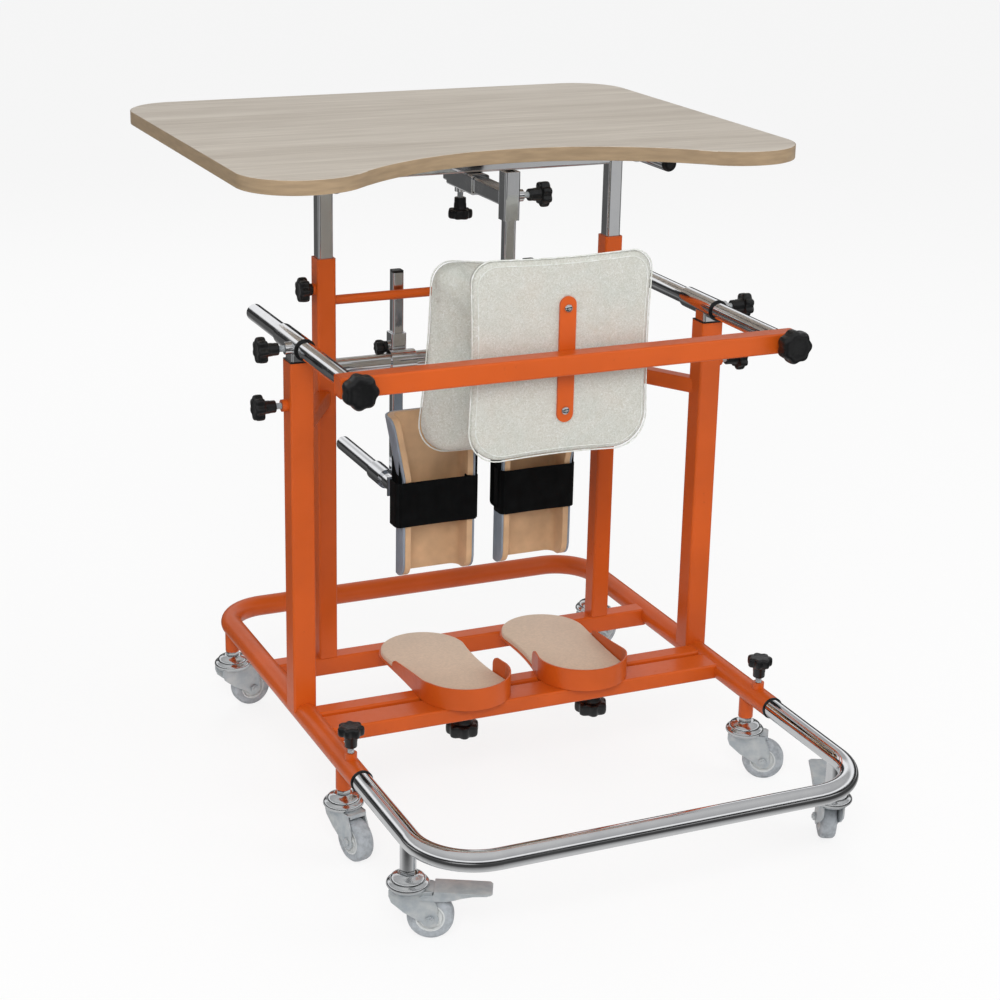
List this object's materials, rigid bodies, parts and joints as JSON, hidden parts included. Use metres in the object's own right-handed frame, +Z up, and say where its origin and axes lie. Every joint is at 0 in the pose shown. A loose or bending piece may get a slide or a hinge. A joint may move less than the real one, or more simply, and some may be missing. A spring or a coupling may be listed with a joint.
{
  "type": "standing frame",
  "caption": "Wheeled standing frame with a cut-out tray, chest and back pads, strapped knee supports and footplates on a tubular base.",
  "frame": {"origin": "centre of the footprint, on the floor", "axes": "+X to the user's right, +Y the way the user faces, towards the tray's far edge, +Z up"},
  "size_m": [0.727, 0.9474, 0.818],
  "materials": {
    "orange_powder_coat": "satin",
    "chrome_plate": "polished",
    "zinc_plate": "satin",
    "black_plastic": "matte",
    "grey_tyre": "matte",
    "tray_laminate": "satin",
    "pearl_vinyl": "satin",
    "shell_plastic": "satin",
    "black_webbing": "matte",
    "insole_leather": "matte"
  },
  "bodies": {
    "frame": {"base_tube": "orange_powder_coat", "cross_rails": "orange_powder_coat", "frame_posts": "orange_powder_coat", "frame_braces": "orange_powder_coat", "knee_bar": "chrome_plate"},
    "extension": {"extension_tube": "chrome_plate"},
    "tray_lift": {"lift_frame": "chrome_plate"},
    "tray": {"tray_board": "tray_laminate", "tray_runners": "chrome_plate"},
    "chest_arm": {"chest_arm": "chrome_plate"},
    "chest_support": {"chest_tube": "chrome_plate", "chest_pad": "pearl_vinyl"},
    "arm_stems": {"arm_stems": "chrome_plate"},
    "side_arms": {"side_arms": "chrome_plate", "rear_bar": "orange_powder_coat", "rear_pad": "pearl_vinyl"},
    "caster_rear_left": {"caster_fork_rear_left": "zinc_plate"},
    "wheel_rear_left": {"caster_wheel_rear_left": "grey_tyre"},
    "caster_rear_right": {"caster_fork_rear_right": "zinc_plate"},
    "wheel_rear_right": {"caster_wheel_rear_right": "grey_tyre"},
    "caster_front_left": {"caster_fork_front_left": "zinc_plate"},
    "wheel_front_left": {"caster_wheel_front_left": "grey_tyre"},
    "caster_front_right": {"caster_fork_front_right": "zinc_plate"},
    "wheel_front_right": {"caster_wheel_front_right": "grey_tyre"},
    "caster_near_left": {"caster_fork_near_left": "zinc_plate"},
    "wheel_near_left": {"caster_wheel_near_left": "grey_tyre"},
    "pedal_near_left": {"brake_pedal_near_left": "zinc_plate"},
    "caster_near_right": {"caster_fork_near_right": "zinc_plate"},
    "wheel_near_right": {"caster_wheel_near_right": "grey_tyre"},
    "pedal_near_right": {"brake_pedal_near_right": "zinc_plate"},
    "knee_clamp_left": {"knee_clamp_left": "chrome_plate"},
    "knee_tube_left": {"knee_tube_left": "chrome_plate"},
    "knee_cup_left": {"knee_rod_left": "chrome_plate", "knee_shell_left": "shell_plastic", "knee_strap_left": "black_webbing"},
    "foot_bolt_left": {"foot_bolt_left": "black_plastic"},
    "footplate_left": {"footplate_left": "orange_powder_coat", "insole_left": "insole_leather"},
    "knee_clamp_right": {"knee_clamp_right": "chrome_plate"},
    "knee_tube_right": {"knee_tube_right": "chrome_plate"},
    "knee_cup_right": {"knee_rod_right": "chrome_plate", "knee_shell_right": "shell_plastic", "knee_strap_right": "black_webbing"},
    "foot_bolt_right": {"foot_bolt_right": "black_plastic"},
    "footplate_right": {"footplate_right": "orange_powder_coat", "insole_right": "insole_leather"},
    "knob_base_left": {"knob_base_left": "black_plastic"},
    "knob_tray_post_left": {"knob_tray_post_left": "black_plastic"},
    "knob_side_post_left": {"knob_side_post_left": "black_plastic"},
    "knob_side_arm_left": {"knob_side_arm_left": "black_plastic"},
    "knob_rear_bar_left": {"knob_rear_bar_left": "black_plastic"},
    "knob_knee_left": {"knob_knee_left": "black_plastic"},
    "knob_base_right": {"knob_base_right": "black_plastic"},
    "knob_tray_post_right": {"knob_tray_post_right": "black_plastic"},
    "knob_side_post_right": {"knob_side_post_right": "black_plastic"},
    "knob_side_arm_right": {"knob_side_arm_right": "black_plastic"},
    "knob_rear_bar_right": {"knob_rear_bar_right": "black_plastic"},
    "knob_knee_right": {"knob_knee_right": "black_plastic"},
    "knob_arm_sleeve": {"knob_arm_sleeve": "black_plastic"},
    "knob_chest_sleeve": {"knob_chest_sleeve": "black_plastic"}
  },
  "joints": [
    {"name": "extension_slide", "type": "slide", "parent": "frame", "child": "extension", "axis": [0, -1, 0], "range_m": [-0.04, 0.12]},
    {"name": "swivel_rear_left", "type": "hinge", "parent": "frame", "child": "caster_rear_left", "pos_m": [-0.28, 0.27875, 0.085], "axis": [0, 0, 1], "continuous": true},
    {"name": "spin_rear_left", "type": "hinge", "parent": "caster_rear_left", "child": "wheel_rear_left", "pos_m": [-0.25425, 0.28237, 0.027], "axis": [-0.1392, 0.9903, 0], "continuous": true},
    {"name": "swivel_rear_right", "type": "hinge", "parent": "frame", "child": "caster_rear_right", "pos_m": [0.28, 0.27875, 0.085], "axis": [0, 0, 1], "continuous": true},
    {"name": "spin_rear_right", "type": "hinge", "parent": "caster_rear_right", "child": "wheel_rear_right", "pos_m": [0.30356, 0.28974, 0.027], "axis": [-0.4226, 0.9063, 0], "continuous": true},
    {"name": "swivel_front_left", "type": "hinge", "parent": "frame", "child": "caster_front_left", "pos_m": [-0.28, -0.16925, 0.085], "axis": [0, 0, 1], "continuous": true},
    {"name": "spin_front_left", "type": "hinge", "parent": "caster_front_left", "child": "wheel_front_left", "pos_m": [-0.27371, -0.19448, 0.027], "axis": [0.9703, 0.2419, 0], "continuous": true},
    {"name": "swivel_front_right", "type": "hinge", "parent": "frame", "child": "caster_front_right", "pos_m": [0.28, -0.16925, 0.085], "axis": [0, 0, 1], "continuous": true},
    {"name": "spin_front_right", "type": "hinge", "parent": "caster_front_right", "child": "wheel_front_right", "pos_m": [0.3018, -0.18341, 0.027], "axis": [0.5446, 0.8387, 0], "continuous": true},
    {"name": "swivel_near_left", "type": "hinge", "parent": "extension", "child": "caster_near_left", "pos_m": [-0.28, -0.37925, 0.085], "axis": [0, 0, 1], "continuous": true},
    {"name": "spin_near_left", "type": "hinge", "parent": "caster_near_left", "child": "wheel_near_left", "pos_m": [-0.25663, -0.39065, 0.027], "axis": [0.4384, 0.8988, 0], "continuous": true},
    {"name": "brake_near_left", "type": "hinge", "parent": "caster_near_left", "child": "pedal_near_left", "pos_m": [-0.26472, -0.3867, 0.056], "axis": [0.4384, 0.8988, 0], "range_deg": [-15, 9]},
    {"name": "swivel_near_right", "type": "hinge", "parent": "extension", "child": "caster_near_right", "pos_m": [0.28, -0.37925, 0.085], "axis": [0, 0, 1], "continuous": true},
    {"name": "spin_near_right", "type": "hinge", "parent": "caster_near_right", "child": "wheel_near_right", "pos_m": [0.29058, -0.3555, 0.027], "axis": [-0.9135, 0.4067, 0], "continuous": true},
    {"name": "brake_near_right", "type": "hinge", "parent": "caster_near_right", "child": "pedal_near_right", "pos_m": [0.28691, -0.36372, 0.056], "axis": [-0.9135, 0.4067, 0], "range_deg": [-12, 16]},
    {"name": "tray_height", "type": "slide", "parent": "frame", "child": "tray_lift", "axis": [0, 0, 1], "range_m": [-0.07, 0.15]},
    {"name": "tray_depth", "type": "slide", "parent": "tray_lift", "child": "tray", "axis": [0, 1, 0], "range_m": [-0.1, 0.05]},
    {"name": "chest_depth", "type": "slide", "parent": "tray_lift", "child": "chest_arm", "axis": [0, 1, 0], "range_m": [-0.06, 0.03]},
    {"name": "chest_height", "type": "slide", "parent": "chest_arm", "child": "chest_support", "axis": [0, 0, 1], "range_m": [-0.035, 0.008]},
    {"name": "arm_height", "type": "slide", "parent": "frame", "child": "arm_stems", "axis": [0, 0, 1], "range_m": [0, 0.15]},
    {"name": "arm_depth", "type": "slide", "parent": "arm_stems", "child": "side_arms", "axis": [0, 1, 0], "range_m": [-0.1, 0.08]},
    {"name": "knee_side_left", "type": "slide", "parent": "frame", "child": "knee_clamp_left", "axis": [1, 0, 0], "range_m": [-0.05, 0.01]},
    {"name": "knee_height_left", "type": "slide", "parent": "knee_clamp_left", "child": "knee_tube_left", "axis": [0, 0, 1], "range_m": [-0.08, 0.1]},
    {"name": "knee_depth_left", "type": "slide", "parent": "knee_tube_left", "child": "knee_cup_left", "axis": [0, 1, 0], "range_m": [-0.04, 0.01]},
    {"name": "foot_side_left", "type": "slide", "parent": "frame", "child": "foot_bolt_left", "axis": [1, 0, 0], "range_m": [-0.05, 0.01]},
    {"name": "foot_turn_left", "type": "hinge", "parent": "foot_bolt_left", "child": "footplate_left", "pos_m": [-0.078, -0.06175, 0.1333], "axis": [0, 0, 1], "range_deg": [-8, 20]},
    {"name": "knee_side_right", "type": "slide", "parent": "frame", "child": "knee_clamp_right", "axis": [1, 0, 0], "range_m": [-0.01, 0.05]},
    {"name": "knee_height_right", "type": "slide", "parent": "knee_clamp_right", "child": "knee_tube_right", "axis": [0, 0, 1], "range_m": [-0.08, 0.1]},
    {"name": "knee_depth_right", "type": "slide", "parent": "knee_tube_right", "child": "knee_cup_right", "axis": [0, 1, 0], "range_m": [-0.04, 0.01]},
    {"name": "foot_side_right", "type": "slide", "parent": "frame", "child": "foot_bolt_right", "axis": [1, 0, 0], "range_m": [-0.01, 0.03]},
    {"name": "foot_turn_right", "type": "hinge", "parent": "foot_bolt_right", "child": "footplate_right", "pos_m": [0.107, -0.06175, 0.1333], "axis": [0, 0, 1], "range_deg": [-15, 8]},
    {"name": "knob_base_left_turn", "type": "hinge", "parent": "frame", "child": "knob_base_left", "pos_m": [-0.28, -0.19525, 0.144], "axis": [0, 0, 1], "continuous": true},
    {"name": "knob_tray_post_left_turn", "type": "hinge", "parent": "frame", "child": "knob_tray_post_left", "pos_m": [-0.2165, 0.11375, 0.633], "axis": [-1, 0, 0], "continuous": true},
    {"name": "knob_side_post_left_turn", "type": "hinge", "parent": "frame", "child": "knob_side_post_left", "pos_m": [-0.302, -0.01625, 0.5265], "axis": [-1, 0, 0], "continuous": true},
    {"name": "knob_side_arm_left_turn", "type": "hinge", "parent": "arm_stems", "child": "knob_side_arm_left", "pos_m": [-0.3005, -0.02525, 0.6], "axis": [-1, 0, 0], "continuous": true},
    {"name": "knob_rear_bar_left_turn", "type": "hinge", "parent": "side_arms", "child": "knob_rear_bar_left", "pos_m": [-0.28, -0.21175, 0.6], "axis": [0, -1, 0], "continuous": true},
    {"name": "knob_knee_left_turn", "type": "hinge", "parent": "knee_clamp_left", "child": "knob_knee_left", "pos_m": [-0.1085, 0.13225, 0.544], "axis": [-1, 0, 0], "continuous": true},
    {"name": "knob_base_right_turn", "type": "hinge", "parent": "frame", "child": "knob_base_right", "pos_m": [0.28, -0.19525, 0.144], "axis": [0, 0, 1], "continuous": true},
    {"name": "knob_tray_post_right_turn", "type": "hinge", "parent": "frame", "child": "knob_tray_post_right", "pos_m": [0.2165, 0.11375, 0.633], "axis": [1, 0, 0], "continuous": true},
    {"name": "knob_side_post_right_turn", "type": "hinge", "parent": "frame", "child": "knob_side_post_right", "pos_m": [0.302, -0.01625, 0.5265], "axis": [1, 0, 0], "continuous": true},
    {"name": "knob_side_arm_right_turn", "type": "hinge", "parent": "arm_stems", "child": "knob_side_arm_right", "pos_m": [0.3005, -0.02525, 0.6], "axis": [1, 0, 0], "continuous": true},
    {"name": "knob_rear_bar_right_turn", "type": "hinge", "parent": "side_arms", "child": "knob_rear_bar_right", "pos_m": [0.28, -0.21175, 0.6], "axis": [0, -1, 0], "continuous": true},
    {"name": "knob_knee_right_turn", "type": "hinge", "parent": "knee_clamp_right", "child": "knob_knee_right", "pos_m": [0.1055, 0.13225, 0.544], "axis": [1, 0, 0], "continuous": true},
    {"name": "knob_arm_sleeve_turn", "type": "hinge", "parent": "tray_lift", "child": "knob_arm_sleeve", "pos_m": [0, 0.15075, 0.737], "axis": [0, 0, -1], "continuous": true},
    {"name": "knob_chest_sleeve_turn", "type": "hinge", "parent": "chest_arm", "child": "knob_chest_sleeve", "pos_m": [0.0175, -0.00125, 0.759], "axis": [1, 0, 0], "continuous": true}
  ]
}
